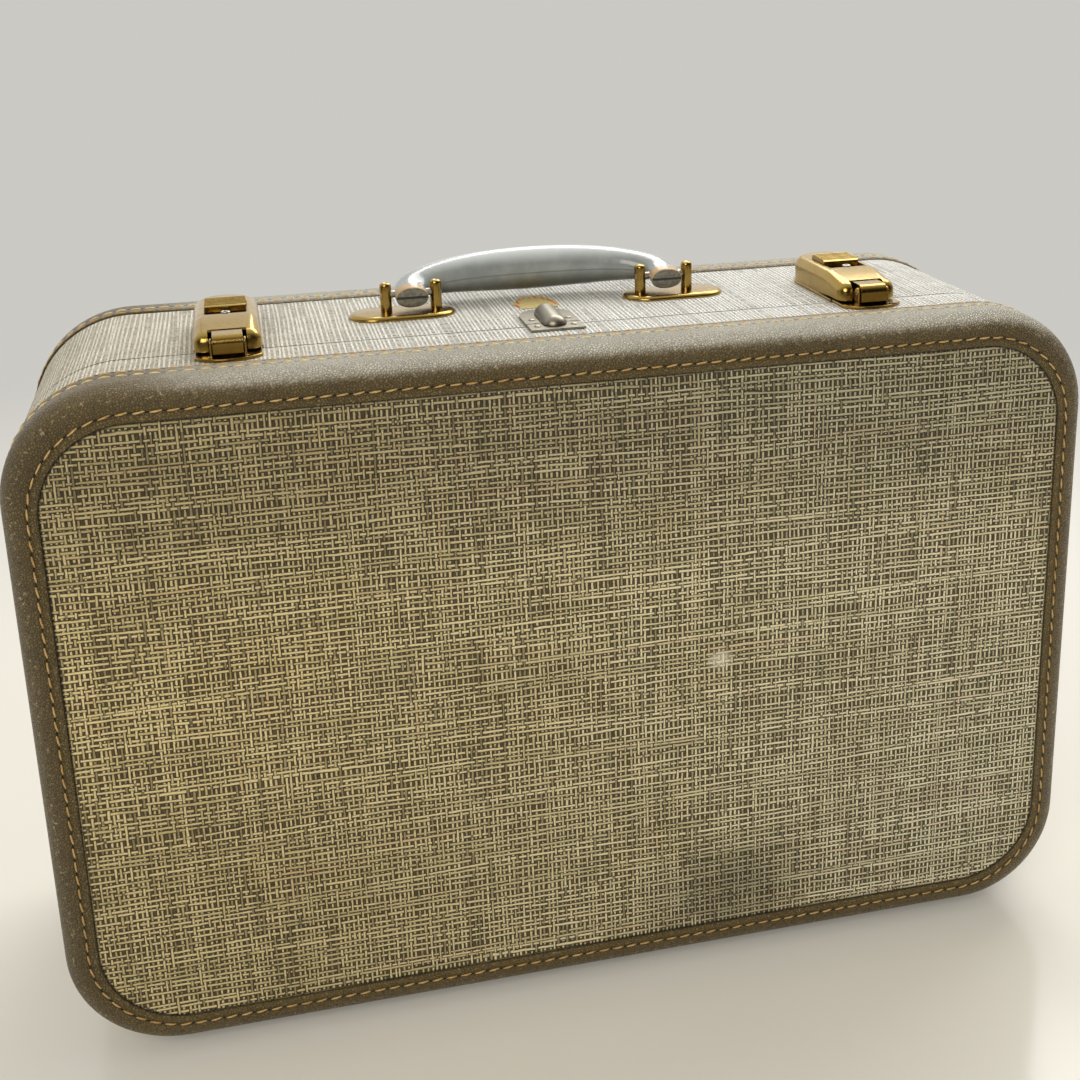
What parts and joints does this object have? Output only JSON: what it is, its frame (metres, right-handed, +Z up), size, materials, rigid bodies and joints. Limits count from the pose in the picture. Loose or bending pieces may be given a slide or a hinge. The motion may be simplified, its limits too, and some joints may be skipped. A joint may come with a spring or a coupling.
{
  "type": "suitcase",
  "caption": "Tweed covered suitcase with leathercloth binding, hinged lid, slide-button hasp latches, lid stays and a swinging carrying handle.",
  "frame": {"origin": "centre of the rectangle round the case, on the surface under its feet", "axes": "+X along the width towards the right latch as seen from the front panel; +Y from the front panel to the rear panel; +Z up, from the hinge side to the handle side"},
  "size_m": [0.559, 0.19, 0.3923],
  "materials": {
    "board": "raw fibre board and plywood",
    "side_tweed": "fine pale woven tweed, pasted down",
    "panel_tweed": "slubby cream and dark olive basket weave, pasted down",
    "leathercloth": "pebbled taupe leathercloth with golden saddle stitching",
    "lining_cloth": "smooth woven lining cloth",
    "webbing": "flat woven webbing",
    "brass": "aged brass plate, scuffed",
    "nickel": "dull nickel plate",
    "steel": "plain steel wire and pins",
    "handle_plastic": "scuffed blue-grey moulded plastic"
  },
  "bodies": {
    "case_body": {"body_wall": "board", "body_wall_corners": "board", "back_board": "board", "body_tweed_band": "side_tweed", "back_tweed_panel": "panel_tweed", "rear_binding": "leathercloth", "dust_rim": "board", "dust_rim_corners": "board", "body_lining": "lining_cloth", "packing_straps": "webbing", "strap_buckles": "nickel", "feet": "brass", "hinge_body_leaves": "brass", "hinge_pins": "steel", "left_handle_mount": "brass", "right_handle_mount": "brass", "left_handle_pin": "steel", "right_handle_pin": "steel", "handle_backing_plates": "steel", "left_latch_base": "brass", "right_latch_base": "brass", "left_lock_case": "brass", "right_lock_case": "brass", "keyhole_rings": "steel", "guide_hood": "nickel", "stay_slide_pins": "steel", "body_rivets": "brass"},
    "lid": {"lid_wall": "board", "front_board": "board", "lid_tweed_band": "side_tweed", "front_tweed_panel": "panel_tweed", "front_binding": "leathercloth", "lid_lining": "lining_cloth", "lid_pocket": "lining_cloth", "hinge_lid_leaves": "brass", "left_lid_plate": "brass", "right_lid_plate": "brass", "left_hasp_pin": "steel", "right_hasp_pin": "steel", "guide_tongue": "nickel", "stay_pivots": "steel", "lid_rivets": "brass"},
    "handle": {"handle": "handle_plastic"},
    "left_button": {"left_slide_button": "brass"},
    "right_button": {"right_slide_button": "brass"},
    "left_hasp": {"left_hasp": "brass"},
    "right_hasp": {"right_hasp": "brass"},
    "left_stay": {"left_lid_stay": "brass"},
    "right_stay": {"right_lid_stay": "brass"}
  },
  "joints": [
    {"name": "lid_hinge", "type": "hinge", "parent": "case_body", "child": "lid", "pos_m": [0, -0.0365, 0.0042], "axis": [1, 0, 0], "range_deg": [0, 95]},
    {"name": "handle_hinge", "type": "hinge", "parent": "case_body", "child": "handle", "pos_m": [0, 0.0135, 0.3758], "axis": [1, 0, 0], "range_deg": [0, 150]},
    {"name": "left_hasp_hinge", "type": "hinge", "parent": "lid", "child": "left_hasp", "pos_m": [-0.17, -0.0525, 0.372], "axis": [1, 0, 0], "range_deg": [0, 100]},
    {"name": "right_hasp_hinge", "type": "hinge", "parent": "lid", "child": "right_hasp", "pos_m": [0.17, -0.0525, 0.372], "axis": [1, 0, 0], "range_deg": [0, 100]},
    {"name": "left_button_slide", "type": "slide", "parent": "case_body", "child": "left_button", "axis": [0, -1, 0], "range_m": [0, 0.005], "stiffness_N_per_m": 400, "springref_m": -0.002},
    {"name": "right_button_slide", "type": "slide", "parent": "case_body", "child": "right_button", "axis": [0, -1, 0], "range_m": [0, 0.005], "stiffness_N_per_m": 400, "springref_m": -0.002},
    {"name": "left_stay_pivot", "type": "hinge", "parent": "lid", "child": "left_stay", "pos_m": [-0.266, -0.049, 0.07511], "axis": [1, 0, 0], "range_deg": [-48, 0]},
    {"name": "right_stay_pivot", "type": "hinge", "parent": "lid", "child": "right_stay", "pos_m": [0.266, -0.049, 0.07511], "axis": [1, 0, 0], "range_deg": [-48, 0]}
  ],
  "couplings": [
    {"joint": "left_stay_pivot", "follows": "lid_hinge", "ratio": -0.5},
    {"joint": "right_stay_pivot", "follows": "lid_hinge", "ratio": -0.5}
  ]
}
